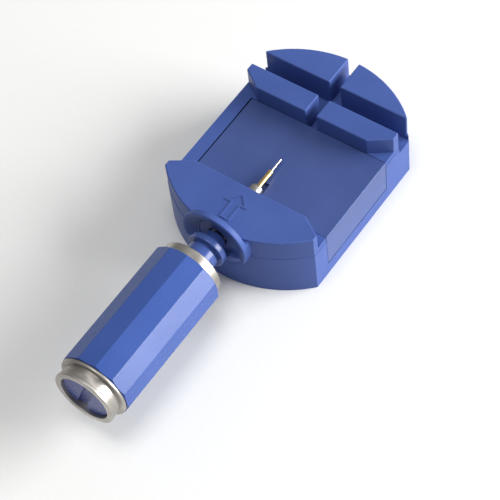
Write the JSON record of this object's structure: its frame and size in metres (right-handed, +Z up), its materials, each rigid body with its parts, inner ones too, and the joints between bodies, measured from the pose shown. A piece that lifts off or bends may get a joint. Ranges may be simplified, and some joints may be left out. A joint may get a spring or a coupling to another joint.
{
  "type": "watch bracelet pin remover",
  "caption": "Bench tool that pushes the link pins out of a watch bracelet: a channelled round plastic body with a height-adjustable platform and a screw-fed pin in a faceted handle.",
  "frame": {"origin": "centre of the round base, on the face that rests on the bench", "axes": "+X along the bracelet channel, +Y along the feed axis from the handle to the rear block, +Z up"},
  "size_m": [0.067, 0.1736, 0.039],
  "materials": {
    "body_plastic": "blue ABS moulding with a fine even texture and softened edges",
    "platform_plastic": "blue ABS moulding, same colour as the body, finely scuffed on top",
    "grip_plastic": "satin-gloss blue plastic with flat facets",
    "hub_plastic": "satin-gloss blue plastic, turned",
    "plug_plastic": "satin-gloss blue plastic disc with a wide slot across it",
    "nickel": "nickel-plated ring, satin turned, a little worn at the rims",
    "screw_steel": "bright steel, lightly oiled",
    "pin_steel": "ground hardened steel",
    "brass": "turned brass",
    "core_aluminium": "plain drawn aluminium tube",
    "screw_plastic": "black nylon",
    "washer_plastic": "natural nylon",
    "soft_rubber": "soft black rubber"
  },
  "bodies": {
    "base_body": {"main_body": "body_plastic", "feed_nut": "brass", "nose_guide": "screw_steel", "guide_dowels": "pin_steel"},
    "pusher": {"pin_chuck": "nickel", "chuck_snap_ring": "pin_steel", "pin_holder": "brass", "push_pin": "pin_steel"},
    "handle": {"feed_screw": "screw_steel", "collar_hub": "hub_plastic", "front_ferrule": "nickel", "grip_sleeve": "grip_plastic", "handle_core": "core_aluminium", "rear_ferrule": "nickel", "pin_rack": "soft_rubber", "spare_holders": "brass", "spare_tips": "pin_steel"},
    "seal_ring": {"plug_seal": "soft_rubber"},
    "plug": {"end_plug": "plug_plastic"},
    "table": {"platform": "platform_plastic", "thrust_washer": "washer_plastic"},
    "adjuster": {"height_screw": "screw_plastic"}
  },
  "joints": [
    {"name": "feed_advance", "type": "slide", "parent": "base_body", "child": "pusher", "axis": [0, 1, 0], "range_m": [-0.00801, 0.00461]},
    {"name": "feed_turn", "type": "hinge", "parent": "pusher", "child": "handle", "pos_m": [0, -0.06, 0.0246], "axis": [0, 1, 0], "range_deg": [-2880, 1656]},
    {"name": "plug_draw", "type": "slide", "parent": "handle", "child": "seal_ring", "axis": [0, -1, 0], "range_m": [0, 0.00451]},
    {"name": "plug_turn", "type": "hinge", "parent": "seal_ring", "child": "plug", "pos_m": [0, -0.123, 0.0246], "axis": [0, -1, 0], "range_deg": [0, 1620]},
    {"name": "platform_lift", "type": "slide", "parent": "base_body", "child": "table", "axis": [0, 0, 1], "range_m": [-0.0004, 0.0006]},
    {"name": "height_turn", "type": "hinge", "parent": "table", "child": "adjuster", "pos_m": [0, -0.009, 0.003], "axis": [0, 0, 1], "range_deg": [-96.5, 144.5]}
  ],
  "couplings": [
    {"joint": "feed_advance", "follows": "feed_turn", "m_per_rad": 0.00015915},
    {"joint": "plug_draw", "follows": "plug_turn", "m_per_rad": 0.00015915},
    {"joint": "height_turn", "follows": "platform_lift", "rad_per_m": 4188.8}
  ]
}
